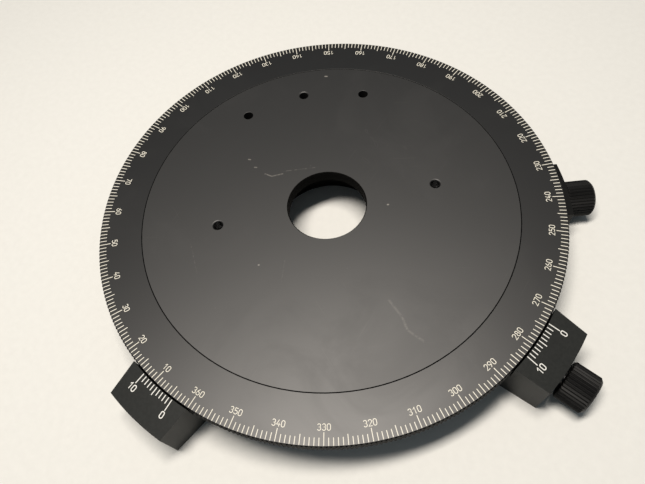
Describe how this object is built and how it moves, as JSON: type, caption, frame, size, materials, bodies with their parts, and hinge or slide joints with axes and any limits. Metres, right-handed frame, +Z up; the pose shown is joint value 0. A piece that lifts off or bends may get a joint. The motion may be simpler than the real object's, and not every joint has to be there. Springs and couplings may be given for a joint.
{
  "type": "rotary table",
  "caption": "Low manual rotary measuring table: graduated knurled disc with a centre bore on a round base, vernier blocks, fine-turn knob and clamp knob.",
  "frame": {"origin": "on the turning axis, at the base's underside", "axes": "+Z up along the turning axis, +X outwards through the middle of the vernier block that has the fine-turn knob"},
  "size_m": [0.2268, 0.214, 0.024],
  "materials": {
    "black_anodised": "satin black anodised",
    "black_base": "satin black anodised",
    "block_black": "matt black anodised",
    "knob_black": "black anodised, straight knurl",
    "ground_steel": "ground",
    "screw_steel": "black oxide",
    "shaft_steel": "blackened",
    "ball_steel": "polished",
    "bush_brass": "turned",
    "tyre_rubber": "matt",
    "tip_nylon": "natural nylon",
    "felt": "pressed felt"
  },
  "bodies": {
    "base": {"base_plate": "black_base", "base_wall": "black_base", "plain_vernier_block": "block_black", "drive_vernier_block": "block_black", "clamp_block": "block_black", "block_screws": "screw_steel", "outer_race": "ground_steel", "bearing_retainer": "ground_steel", "retainer_screws": "screw_steel", "felt_seal": "felt", "wall_bush": "bush_brass", "drive_bush": "bush_brass", "clamp_bush": "bush_brass"},
    "table": {"table_plate": "black_anodised", "scale_ring": "black_anodised", "ring_screws": "screw_steel", "clamp_drum": "ground_steel", "drum_screws": "screw_steel", "spindle": "black_base", "spindle_screws": "screw_steel", "inner_race": "ground_steel", "spindle_nut": "ground_steel"},
    "ball_train": {"bearing_balls": "ball_steel", "ball_cage": "bush_brass"},
    "fine_drive": {"fine_shaft": "shaft_steel", "fine_knob": "knob_black", "fine_knob_screw": "screw_steel", "friction_roller": "bush_brass", "roller_tyre": "tyre_rubber"},
    "clamp": {"clamp_screw": "shaft_steel", "clamp_knob": "knob_black", "clamp_knob_screw": "screw_steel"},
    "clamp_plug_slide": {"clamp_plug": "bush_brass", "plug_tip": "tip_nylon"}
  },
  "joints": [
    {"name": "table_turn", "type": "hinge", "parent": "base", "child": "table", "pos_m": [0, 0, 0.018], "axis": [0, 0, 1], "continuous": true},
    {"name": "ball_train_turn", "type": "hinge", "parent": "base", "child": "ball_train", "pos_m": [0, 0, 0.00975], "axis": [0, 0, 1], "continuous": true},
    {"name": "fine_turn", "type": "hinge", "parent": "base", "child": "fine_drive", "pos_m": [0.12, -0.00069, 0.0085], "axis": [1, -0.0058, 0], "continuous": true},
    {"name": "clamp_feed", "type": "slide", "parent": "base", "child": "clamp_plug_slide", "axis": [-0.7314, -0.682, 0], "range_m": [0, 0.0004]},
    {"name": "clamp_turn", "type": "hinge", "parent": "clamp_plug_slide", "child": "clamp", "pos_m": [0.08045, 0.07502, 0.0085], "axis": [-0.7314, -0.682, 0], "range_deg": [0, 180]}
  ],
  "couplings": [
    {"joint": "ball_train_turn", "follows": "table_turn", "ratio": 0.467},
    {"joint": "fine_turn", "follows": "table_turn", "ratio": -12.682},
    {"joint": "clamp_turn", "follows": "clamp_feed", "rad_per_m": 7854}
  ]
}
